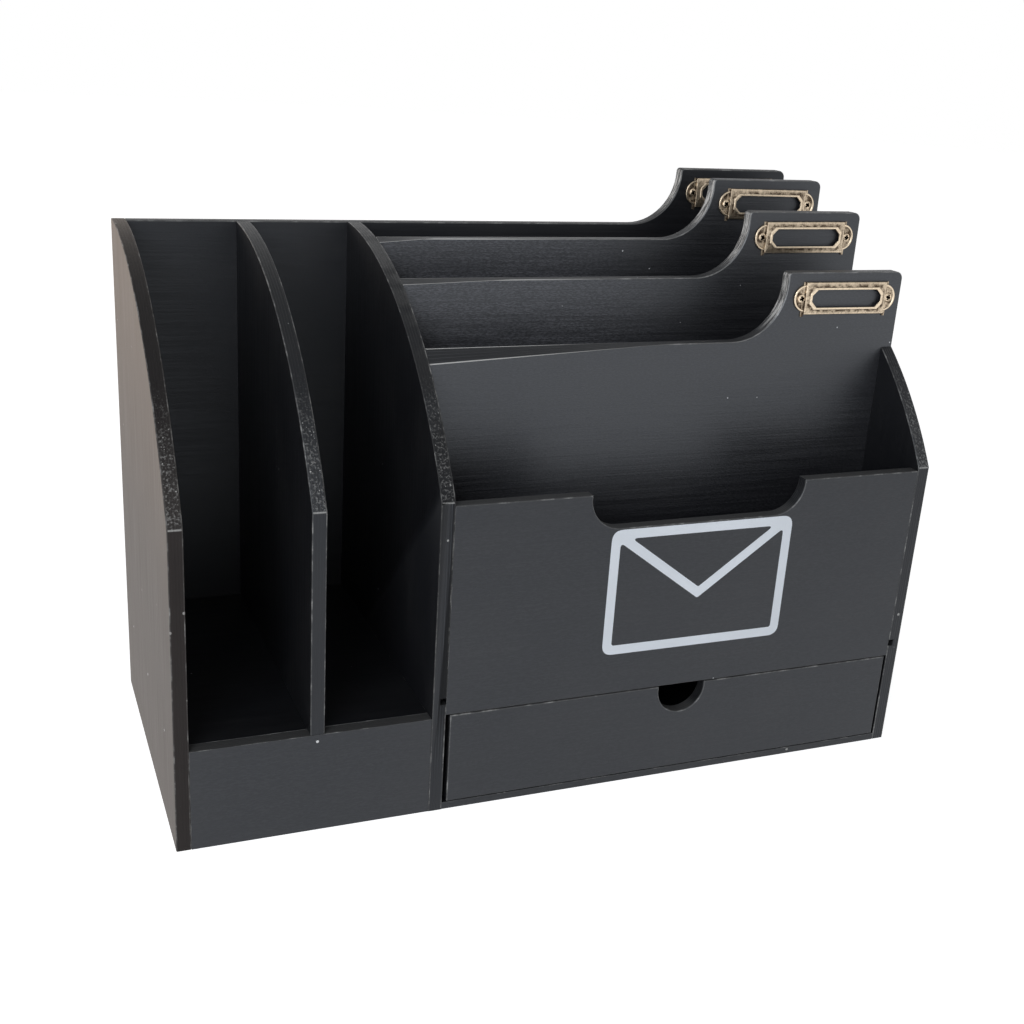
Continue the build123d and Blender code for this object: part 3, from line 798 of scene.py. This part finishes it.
def stamped_holder():
    """The frame: a foot flange, an upright rim, a mitred bevel and a lip round the window."""
    shape = bmesh.new()
    skin(shape, [
        octagon(25.5, 8.55, 0.12, 0.0), octagon(25.5, 8.55, 0.12, 1.25),
        octagon(25.2, 8.3, 0.12, 1.5), octagon(23.1, 6.0, 2.9, 2.15),
        octagon(22.75, 5.65, 3.0, 2.5), octagon(21.85, 4.8, 3.1, 2.5),
        octagon(21.7, 4.7, 3.2, 2.25), octagon(21.7, 4.7, 3.2, 1.8),
        octagon(22.6, 5.5, 3.1, 1.75), octagon(24.8, 7.9, 0.3, 0.95),
        octagon(24.9, 8.0, 0.3, 0.0)])
    for side in (-1, 1):
        # foot flange past the rim's end, a little longer than the rim is high
        points = [(25.3, -9.8), (26.9, -9.8), (26.9, 8.6), (25.3, 8.6)]
        plate = [[Vector((side * x, y, z)) * MM for x, y in points] for z in (0.0, 0.6)]
        bottom, top = [[shape.verts.new(point) for point in loop] for loop in plate]
        for index in range(4):
            after = (index + 1) % 4
            shape.faces.new((bottom[index], bottom[after], top[after], top[index]))
        shape.faces.new(bottom[::-1])
        shape.faces.new(top)
        # ear: a dished half round with a raised ring, cut off inside the rim's wall
        cut, middle, turn = 25.3, 24.8, 28
        rings = [(7.2, 0.0), (7.2, 0.75), (6.95, 1.0), (6.3, 1.0), (5.9, 0.5), (2.9, 0.42)]
        loops = []
        for radius, height in rings:
            widest = math.acos((cut - middle) / radius)
            loops.append([shape.verts.new(Vector((
                side * (middle + radius * math.cos(widest * (2 * step / turn - 1))),
                radius * math.sin(widest * (2 * step / turn - 1)), height)) * MM)
                for step in range(turn + 1)])
        inner = shape.verts.new(Vector((side * cut, 0.0, 0.42)) * MM)
        for first, second in zip(loops, loops[1:]):
            for step in range(turn):
                shape.faces.new((first[step], first[step + 1], second[step + 1], second[step]))
        for step in range(turn):
            shape.faces.new((loops[-1][step], loops[-1][step + 1], inner))
        shape.faces.new(loops[0])
        shape.faces.new([loop[0] for loop in loops] + [inner]
                        + [loop[-1] for loop in reversed(loops)])
    bmesh.ops.recalc_face_normals(shape, faces=shape.faces)
    sharp = [edge for edge in shape.edges
             if len(edge.link_faces) == 2 and edge.calc_face_angle(0.0) > math.radians(28)]
    bmesh.ops.bevel(shape, geom=sharp, offset=0.07 * MM, segments=2, profile=0.5,
                    affect="EDGES", clamp_overlap=True)
    mesh = bpy.data.meshes.new("stamped_holder")
    shape.to_mesh(mesh)
    shape.free()
    mesh.shade_smooth()
    mesh.set_sharp_from_angle(angle=math.radians(22))
    # how high each point stands: the material lays patina on the low parts, partly as painted shade
    # in the creases below the lip
    ridge = mesh.attributes.new("ridge", "FLOAT", "POINT")
    for vertex, value in zip(mesh.vertices, ridge.data):
        x, y, z = (part / MM for part in vertex.co)
        if abs(x) > 25.55:
            on_flange = abs(x) < 26.95 and z < 0.65
            value.value = 0.5 if on_flange else min(1.0, max(0.0, (z - 0.5) / 0.5))
        elif z > 1.7:
            value.value = 0.1 if z < 2.2 else 1.0
        else:
            value.value = 0.65 if z > 1.35 else 0.0
    return mesh


def holders_tree(material, holder):
    """The stamped frame set on each tab, facing the front."""
    tree, given, leave = shape_tree("label_holders", [("Lean", "NodeSocketFloat"),
                                                      ("Seed", "NodeSocketInt")])
    piece = put(tree, "GeometryNodeObjectInfo", {"Object": holder})
    lean = put(tree, "FunctionNodeRandomValue", {"Seed": given["Seed"]}, data_type="FLOAT")
    tree.links.new(maths(tree, "MULTIPLY", given["Lean"], -1.0), lean.inputs[2])
    tree.links.new(given["Lean"], lean.inputs[3])
    turn = put(tree, "ShaderNodeCombineXYZ", {"X": math.radians(90), "Y": lean.outputs[1]})
    spread = put(tree, "GeometryNodeInstanceOnPoints", {
        "Points": given["Geometry"], "Instance": piece.outputs["Geometry"],
        "Rotation": turn.outputs[0]})
    end_tree(tree, leave, spread.outputs[0], material)
    return tree


class SORTER_OT_label_holders(Operator):
    """Make the four stamped label holders"""
    bl_idname = "sorter.label_holders"
    bl_label = "Label holders"

    def execute(self, context):
        material = aged_brass()
        pattern = bpy.data.objects.new("holder_pattern", stamped_holder())
        tree = holders_tree(material, pattern)
        mesh = grow(tree, "label_holders", {"Lean": math.radians(0.5), "Seed": 4},
                    tab_points("holder_points", (0.0,)))
        bpy.data.objects.remove(pattern)
        obj = link("label_holders", mesh, material)
        seat(obj, "case", "antique_brass", *["label_holder_" + tab for tab in TABS])
        return {"FINISHED"}


def screws_tree(material):
    """Domed heads with a cross recess, one on each point, turned at random."""
    tree, given, leave = shape_tree("label_screws", [
        ("Head Radius", "NodeSocketFloat"), ("Head Height", "NodeSocketFloat"),
        ("Shank Radius", "NodeSocketFloat"), ("Shank Length", "NodeSocketFloat"),
        ("Bar Length", "NodeSocketFloat"), ("Bar Width", "NodeSocketFloat"),
        ("Bar Depth", "NodeSocketFloat"), ("Seed", "NodeSocketInt")])

    def calc(operation, *values):
        return maths(tree, operation, *values)

    rim = calc("MULTIPLY", given["Head Height"], 0.4)
    disc = put(tree, "GeometryNodeMeshCylinder", {
        "Vertices": 36, "Side Segments": 1, "Fill Segments": 6,
        "Radius": given["Head Radius"], "Depth": rim}, fill_type="TRIANGLE_FAN")
    place = put(tree, "GeometryNodeInputPosition").outputs[0]
    parts = put(tree, "ShaderNodeSeparateXYZ", {0: place})
    radial = calc("SQRT", calc("ADD", calc("MULTIPLY", parts.outputs["X"], parts.outputs["X"]),
                               calc("MULTIPLY", parts.outputs["Y"], parts.outputs["Y"])))
    ratio = calc("DIVIDE", radial, given["Head Radius"])
    crown = calc("MULTIPLY", calc("SUBTRACT", 1.0, calc("MULTIPLY", ratio, ratio)),
                 calc("MULTIPLY", given["Head Height"], 0.6))
    on_top = put(tree, "FunctionNodeCompare", {0: parts.outputs["Z"], 1: 0.0},
                 operation="GREATER_THAN").outputs[0]
    lift = put(tree, "ShaderNodeCombineXYZ", {"Z": crown})
    dome = put(tree, "GeometryNodeSetPosition", {"Geometry": disc.outputs[0],
                                                 "Selection": on_top,
                                                 "Offset": lift.outputs[0]})
    raised = put(tree, "ShaderNodeCombineXYZ", {"Z": calc("MULTIPLY", rim, 0.5)})
    head = put(tree, "GeometryNodeTransform", {"Geometry": dome.outputs[0],
                                               "Translation": raised.outputs[0]})
    bars = []
    for turned in (0.0, math.radians(90)):
        size = put(tree, "ShaderNodeCombineXYZ", {
            "X": given["Bar Length"], "Y": given["Bar Width"],
            "Z": calc("MULTIPLY", given["Bar Depth"], 2.0)})
        bar = put(tree, "GeometryNodeMeshCube", {"Size": size.outputs[0]})
        top = put(tree, "ShaderNodeCombineXYZ", {"Z": given["Head Height"]})
        bars.append(put(tree, "GeometryNodeTransform", {
            "Geometry": bar.outputs[0], "Translation": top.outputs[0],
            "Rotation": (0.0, 0.0, turned)}))
    cross = put(tree, "GeometryNodeMeshBoolean", operation="DIFFERENCE", solver="EXACT")
    tree.links.new(head.outputs[0], cross.inputs[0])
    for bar in bars:
        tree.links.new(bar.outputs[0], cross.inputs[1])
    shank = put(tree, "GeometryNodeMeshCylinder", {
        "Vertices": 20, "Radius": given["Shank Radius"], "Depth": given["Shank Length"]})
    sunk = put(tree, "ShaderNodeCombineXYZ", {"Z": calc("MULTIPLY", given["Shank Length"], -0.49)})
    shank = put(tree, "GeometryNodeTransform", {"Geometry": shank.outputs[0],
                                                "Translation": sunk.outputs[0]})
    screw = put(tree, "GeometryNodeJoinGeometry")
    tree.links.new(cross.outputs[0], screw.inputs[0])
    tree.links.new(shank.outputs[0], screw.inputs[0])
    spin = put(tree, "FunctionNodeRandomValue", {"Seed": given["Seed"]}, data_type="FLOAT")
    spin.inputs[2].default_value, spin.inputs[3].default_value = 0.0, math.pi
    about = put(tree, "ShaderNodeCombineXYZ", {"Z": spin.outputs[1]})
    own_turn = put(tree, "FunctionNodeRotateRotation", {
        "Rotation": put(tree, "FunctionNodeEulerToRotation",
                        {0: (math.radians(90), 0.0, 0.0)}).outputs[0],
        "Rotate By": put(tree, "FunctionNodeEulerToRotation", {0: about.outputs[0]}).outputs[0]},
        rotation_space="LOCAL")
    spread = put(tree, "GeometryNodeInstanceOnPoints", {
        "Points": given["Geometry"], "Instance": screw.outputs[0],
        "Rotation": own_turn.outputs[0]})
    end_tree(tree, leave, spread.outputs[0], material)
    return tree


class SORTER_OT_label_screws(Operator):
    """Make the wood screws that hold the label holders"""
    bl_idname = "sorter.label_screws"
    bl_label = "Label screws"

    def execute(self, context):
        sizes = context.scene.sorter_sizes
        material = rubbed_brass()
        points = tab_points("screw_points", (-27.5 * MM, 27.5 * MM))
        for vertex in points.vertices:
            vertex.co.y -= 0.5 * MM
        mesh = grow(screws_tree(material), "label_screws", {
            "Head Radius": sizes.screw_head, "Head Height": sizes.screw_rise,
            "Shank Radius": 1.0 * MM, "Shank Length": 5.5 * MM,
            "Bar Length": 2.9 * MM, "Bar Width": 1.25 * MM, "Bar Depth": 0.85 * MM, "Seed": 11},
            points)
        mesh.set_sharp_from_angle(angle=math.radians(35))
        # how deep each point lies in the cross recess, which the material darkens as painted shade
        recess = mesh.attributes.new("recess", "FLOAT", "POINT")
        centres = [vertex.co.copy() for vertex in points.vertices]
        for vertex, value in zip(mesh.vertices, recess.data):
            centre = min(centres, key=lambda point: (point - vertex.co).length)
            away = vertex.co - centre
            radial = math.hypot(away.x, away.z)
            crown = sizes.screw_rise * (1.0 - 0.6 * (radial / sizes.screw_head) ** 2)
            if radial < 1.65 * MM:
                value.value = min(1.0, max(0.0, (crown + away.y) / (0.35 * MM)))
        obj = link("label_screws", mesh, material)
        seat(obj, "case", "screw_brass", *["label_screws_" + tab for tab in TABS])
        return {"FINISHED"}


def rubbed_brass():
    """Bright worn head, with painted shade dark in the cross recess."""
    if "rubbed_brass" in bpy.data.materials:
        return bpy.data.materials["rubbed_brass"]
    finish = bpy.context.scene.sorter_finish
    material, tree, shader = new_material("rubbed_brass")
    place, _ = object_millimetres(tree)
    cloud = noise(tree, scaled(tree, place, (0.8, 0.8, 0.8)), 1.0, 4.0, 0.6)
    recess = put(tree, "ShaderNodeAttribute", attribute_name="recess").outputs["Fac"]
    patina_and_shade = maths(tree, "MAXIMUM", ramp(tree, cloud, 0.35, 0.8, 0.0, 0.6),
                    ramp(tree, recess, 0.1, 0.6))
    pale = tuple(min(1.0, 1.2 * value) for value in finish.brass)
    # painted shade: the cross recess darkens from patina to near black
    recess_shade = tuple(0.05 * value for value in finish.patina_and_shade_colour)
    hollow = blend_colours(tree, recess, finish.patina_and_shade_colour, recess_shade)
    tree.links.new(blend_colours(tree, patina_and_shade, pale, hollow),
                   shader.inputs["Base Color"])
    shader.inputs["Metallic"].default_value = 1.0
    tree.links.new(ramp(tree, cloud, 0.3, 0.7, 0.42, 0.6), shader.inputs["Roughness"])
    bump = put(tree, "ShaderNodeBump", {"Strength": 1.0, "Distance": MM,
                                        "Height": maths(tree, "MULTIPLY", cloud, 0.02)})
    tree.links.new(bump.outputs[0], shader.inputs["Normal"])
    return material


# ---- brads --------------------------------------------------------------------------------
def brad_places(node, body_low, body_high):
    """Where each brad went in: its end nearest to the outside, and the way it faces."""
    shape = cad_copy(node)
    seen, points, ways = set(), [], []
    for first in shape.verts:
        if first in seen:
            continue
        island = [first]
        seen.add(first)
        for vertex in island:
            fresh = [edge.other_vert(vertex) for edge in vertex.link_edges
                     if edge.other_vert(vertex) not in seen]
            island += fresh
            seen.update(fresh)
        low = Vector([min(vertex.co[axis] for vertex in island) for axis in range(3)])
        high = Vector([max(vertex.co[axis] for vertex in island) for axis in range(3)])
        axis = max(range(3), key=lambda index: (high - low)[index])
        place, way = (low + high) / 2, Vector((0.0, 0.0, 0.0))
        at_low = low[axis] - body_low[axis] < body_high[axis] - high[axis]
        place[axis] = body_low[axis] if at_low else body_high[axis]
        way[axis] = -1.0 if at_low else 1.0
        points.append(place)
        ways.append(way)
    shape.free()
    mesh = bpy.data.meshes.new(node + "_places")
    mesh.from_pydata(points, [], [])
    facing = mesh.attributes.new("way", "FLOAT_VECTOR", "POINT")
    facing.data.foreach_set("vector", [part for way in ways for part in way])
    return mesh


def fillers_tree(material):
    """A sunk dab of filler over each brad: a low ring round a small hollow."""
    tree, given, leave = shape_tree("brad_fillers", [
        ("Radius", "NodeSocketFloat"), ("Proud", "NodeSocketFloat"), ("Spread", "NodeSocketFloat"),
        ("Seed", "NodeSocketInt")])
    disc = put(tree, "GeometryNodeMeshCylinder", {
        "Vertices": 20, "Fill Segments": 4, "Radius": given["Radius"],
        "Depth": maths(tree, "MULTIPLY", given["Proud"], 2.0)}, fill_type="TRIANGLE_FAN")
    parts = put(tree, "ShaderNodeSeparateXYZ",
                {0: put(tree, "GeometryNodeInputPosition").outputs[0]}).outputs
    radial = maths(tree, "SQRT", maths(tree, "ADD", maths(tree, "MULTIPLY", parts["X"], parts["X"]),
                                       maths(tree, "MULTIPLY", parts["Y"], parts["Y"])))
    share_out = maths(tree, "DIVIDE", radial, given["Radius"])
    middle = put(tree, "FunctionNodeCompare", {0: share_out, 1: 0.4},
                 operation="LESS_THAN").outputs[0]
    sink = put(tree, "ShaderNodeCombineXYZ", {
        "Z": maths(tree, "MULTIPLY", maths(tree, "SIGN", parts["Z"]),
                   maths(tree, "MULTIPLY", given["Proud"], -0.7))})
    dished = put(tree, "GeometryNodeSetPosition", {"Geometry": disc.outputs[0],
                                                   "Selection": middle,
                                                   "Offset": sink.outputs[0]})
    marked = put(tree, "GeometryNodeStoreNamedAttribute", {
        "Geometry": dished.outputs[0], "Name": "hollow", "Value": middle},
        data_type="FLOAT", domain="POINT")
    way = put(tree, "GeometryNodeInputNamedAttribute", {"Name": "way"}, data_type="FLOAT_VECTOR")
    turned = put(tree, "FunctionNodeAlignRotationToVector", {"Vector": way.outputs[0]}, axis="Z")
    size = put(tree, "FunctionNodeRandomValue", {"Seed": given["Seed"]}, data_type="FLOAT")
    tree.links.new(maths(tree, "SUBTRACT", 1.0, given["Spread"]), size.inputs[2])
    size.inputs[3].default_value = 1.0
    spread = put(tree, "GeometryNodeInstanceOnPoints", {
        "Points": given["Geometry"], "Instance": marked.outputs[0],
        "Rotation": turned.outputs[0], "Scale": size.outputs[1]})
    end_tree(tree, leave, spread.outputs[0], material)
    return tree


def filler_paint():
    """Filler that shows pale through the paint, dark in its hollow."""
    finish = bpy.context.scene.sorter_finish
    material, tree, shader = new_material("filler_paint")
    place, _ = object_millimetres(tree)
    hollow = put(tree, "ShaderNodeAttribute", attribute_name="hollow").outputs["Fac"]
    patch = noise(tree, scaled(tree, place, (0.9, 0.9, 0.9)), 1.0, 3.0)
    pale = blend_colours(tree, ramp(tree, patch, 0.35, 0.65, 0.12, 0.5), finish.paint, finish.bare_and_highlight)
    tree.links.new(blend_colours(tree, hollow, pale, finish.paint), shader.inputs["Base Color"])
    tree.links.new(ramp(tree, patch, 0.3, 0.7, 0.5, 0.7), shader.inputs["Roughness"])
    return material


class SORTER_OT_brads(Operator):
    """Give the hidden brads their steel, and dab filler over the case's"""
    bl_idname = "sorter.brads"
    bl_label = "Brads"

    def execute(self, context):
        places = brad_places("case_brads", cad_low, cad_high)
        mesh = grow(fillers_tree(filler_paint()), "brad_fillers", {
            "Radius": context.scene.sorter_sizes.fill_radius, "Proud": 0.04 * MM,
            "Spread": 0.35, "Seed": 3}, places)
        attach(link("brad_fillers", mesh, mesh.materials[0]), "case")
        for node in ("case_brads", "drawer_brads"):
            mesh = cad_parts[node].data
            mesh.materials.clear()
            mesh.materials.append(plain_wire())
        return {"FINISHED"}


# ---- motif --------------------------------------------------------------------------------
def rounded(points, radius, steps=8):
    """A closed outline with its corners rounded."""
    outline = []
    count = len(points)
    for index in range(count):
        before, here, after = (Vector(points[(index + shift) % count]) for shift in (-1, 0, 1))
        to_before, to_after = (before - here).normalized(), (after - here).normalized()
        half = to_before.angle(to_after) / 2
        reach = min(radius / math.tan(half), 0.45 * min((before - here).length,
                                                         (after - here).length))
        start, end = here + to_before * reach, here + to_after * reach
        for step in range(steps + 1):
            t = step / steps
            outline.append(start * (1 - t) ** 2 + here * 2 * t * (1 - t) + end * t * t)
    return outline


class SORTER_OT_motif(Operator):
    """Paint a plain white envelope on the mail front panel"""
    bl_idname = "sorter.motif"
    bl_label = "Front motif"

    def execute(self, context):
        sizes = context.scene.sorter_sizes
        half_w, half_h, line = sizes.motif_width / 2, sizes.motif_height / 2, sizes.motif_line
        inner_w, inner_h = half_w - line, half_h - line
        centre = Vector((0.0655, 0.1095))
        fold = -0.12 * half_h          # where the flap's point lies
        slope = (half_h - fold) / half_w
        gap = line * math.hypot(1.0, slope) / 2
        outlines = [rounded([(-half_w, -half_h), (half_w, -half_h), (half_w, half_h),
                             (-half_w, half_h)], 6 * MM)]
        # flap over the fold, and the pocket under it
        flap_reach = (inner_h - (fold + gap)) / slope
        outlines.append(rounded([(0.0, fold + gap), (flap_reach, inner_h),
                                 (-flap_reach, inner_h)], 1.2 * MM))
        side_top = fold - gap + slope * inner_w
        outlines.append(rounded([(0.0, fold - gap), (-inner_w, side_top), (-inner_w, -inner_h),
                                 (inner_w, -inner_h), (inner_w, side_top)], 1.6 * MM))
        curve = bpy.data.curves.new("motif_outline", "CURVE")
        curve.dimensions = "2D"
        curve.fill_mode = "BOTH"
        curve.extrude = 0.1 * MM
        for outline in outlines:
            spline = curve.splines.new("POLY")
            spline.points.add(len(outline) - 1)
            for point, (x, y) in zip(spline.points, outline):
                point.co = (x, y, 0.0, 1.0)
            spline.use_cyclic_u = True
        holder = bpy.data.objects.new("motif_outline", curve)
        bpy.context.scene.collection.objects.link(holder)
        bpy.context.view_layer.update()
        depsgraph = bpy.context.evaluated_depsgraph_get()
        mesh = bpy.data.meshes.new_from_object(holder.evaluated_get(depsgraph),
                                               depsgraph=depsgraph)
        bpy.data.objects.remove(holder)
        bm = bmesh.new()
        bm.from_mesh(mesh)
        bmesh.ops.remove_doubles(bm, verts=bm.verts, dist=1e-6)
        bmesh.ops.recalc_face_normals(bm, faces=bm.faces)
        bm.to_mesh(mesh)
        bm.free()
        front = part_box("mail_front_panel")[0].y
        mesh.transform(Matrix.Translation((centre.x, front, centre.y))
                       @ Matrix.Rotation(math.radians(90), 4, "X"))
        mesh.name = "front_motif"
        obj = link("front_motif", mesh, motif_paint())
        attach(obj, "case")
        return {"FINISHED"}


# ---- stage --------------------------------------------------------------------------------
def seen_directly(tree):
    """1 for rays that show the background: camera, glossy and transmission rays."""
    path = put(tree, "ShaderNodeLightPath").outputs
    either = maths(tree, "MAXIMUM", path["Is Camera Ray"], path["Is Glossy Ray"])
    return maths(tree, "MAXIMUM", either, path["Is Transmission Ray"])


class SORTER_OT_stage(Operator):
    """Make the pale floor, the soft light and the camera"""
    bl_idname = "sorter.stage"
    bl_label = "Stage"

    def execute(self, context):
        scene = context.scene
        stage = scene.sorter_stage
        scene.view_settings.view_transform = "Standard"

        shape = bmesh.new()
        bmesh.ops.create_circle(shape, cap_ends=True, segments=96, radius=6.0)
        mesh = bpy.data.meshes.new("floor")
        shape.to_mesh(mesh)
        shape.free()
        material = bpy.data.materials.new("pale_floor")
        material.use_nodes = True
        tree = material.node_tree
        tree.nodes.clear()
        matt = put(tree, "ShaderNodeBsdfDiffuse", {"Color": (*stage.floor, 1.0)})
        glow = put(tree, "ShaderNodeEmission", {"Strength": maths(
            tree, "MULTIPLY", seen_directly(tree), 0.80)})
        both = put(tree, "ShaderNodeAddShader", {0: matt.outputs[0], 1: glow.outputs[0]})
        output = put(tree, "ShaderNodeOutputMaterial")
        tree.links.new(both.outputs[0], output.inputs[0])
        link("floor", mesh, material)

        world = scene.world or bpy.data.worlds.new("soft_room")
        scene.world = world
        world.use_nodes = True
        tree = world.node_tree
        tree.nodes.clear()
        way = put(tree, "ShaderNodeTexCoord")
        height = put(tree, "ShaderNodeSeparateXYZ", {0: way.outputs["Generated"]}).outputs["Z"]
        # the room is dimmer overhead, and the background is white up to well over the horizon
        dimmer = ramp(tree, height, 0.1, 0.85, 1.0, 0.25)
        room = put(tree, "ShaderNodeBackground", {
            "Color": (0.97, 0.985, 1.0, 1.0),
            "Strength": maths(tree, "MULTIPLY", dimmer, stage.world)})
        white = put(tree, "ShaderNodeBackground", {
            "Color": (1.0, 1.0, 1.0, 1.0), "Strength": ramp(tree, height, 0.3, 0.85, 1.0, 0.2)})
        mixed = put(tree, "ShaderNodeMixShader", {0: seen_directly(tree), 1: room.outputs[0],
                                                  2: white.outputs[0]})
        output = put(tree, "ShaderNodeOutputWorld")
        tree.links.new(mixed.outputs[0], output.inputs[0])

        target = Vector((0.0, 0.0, 0.14))
        for name, power, size, at, tint in (
                ("front_light", stage.key, 0.9, (-1.05, -1.3, 0.95), (0.90, 0.95, 1.0)),
                ("side_light", stage.side, 0.9, (-1.1, 1.7, 0.7), (1.0, 0.84, 0.70))):
            lamp = bpy.data.lights.new(name, "AREA")
            lamp.energy, lamp.size, lamp.color = power, size, tint
            light = bpy.data.objects.new(name, lamp)
            light.location = at
            light.rotation_euler = (target - Vector(at)).to_track_quat("-Z", "Y").to_euler()
            scene.collection.objects.link(light)

        camera = bpy.data.objects.new("camera", bpy.data.cameras.new("camera"))
        camera.location = (-0.26902, -0.62923, 0.36773)
        camera.rotation_euler = [math.radians(angle) for angle in (70.0044, -3.3449, -21.454)]
        camera.data.sensor_width = 36.0
        camera.data.lens = 46.397
        camera.data.shift_x, camera.data.shift_y = 0.0062, 0.0043
        scene.collection.objects.link(camera)
        scene.camera = camera
        return {"FINISHED"}


# ---- panel and registration ---------------------------------------------------------------
OPERATORS = (SORTER_OT_stage, SORTER_OT_uprights, SORTER_OT_dividers, SORTER_OT_case_boards,
             SORTER_OT_drawer, SORTER_OT_label_holders, SORTER_OT_label_screws,
             SORTER_OT_brads, SORTER_OT_motif)


class SORTER_PT_panel(Panel):
    """Sidebar panel that lists the sorter's pieces"""
    bl_idname = "SORTER_PT_panel"
    bl_label = "Desk Sorter"
    bl_space_type = "VIEW_3D"
    bl_region_type = "UI"
    bl_category = "Sorter"

    def draw(self, context):
        for operator in OPERATORS:
            self.layout.operator(operator.bl_idname)
        for group_name in ("sorter_sizes", "sorter_finish", "sorter_stage"):
            owner = getattr(context.scene, group_name)
            for name in owner.__annotations__:
                self.layout.prop(owner, name)


CLASSES = (SorterSizes, SorterFinish, SorterStage, *OPERATORS, SORTER_PT_panel)


def register():
    for cls in CLASSES:
        bpy.utils.register_class(cls)
    bpy.types.Scene.sorter_sizes = PointerProperty(type=SorterSizes)
    bpy.types.Scene.sorter_finish = PointerProperty(type=SorterFinish)
    bpy.types.Scene.sorter_stage = PointerProperty(type=SorterStage)


def unregister():
    for name in ("sorter_sizes", "sorter_finish", "sorter_stage"):
        delattr(bpy.types.Scene, name)
    for cls in reversed(CLASSES):
        bpy.utils.unregister_class(cls)


def main():
    register()
    for operator in OPERATORS:
        section, name = operator.bl_idname.split(".")
        getattr(getattr(bpy.ops, section), name)()


if __name__ == "__main__":
    main()
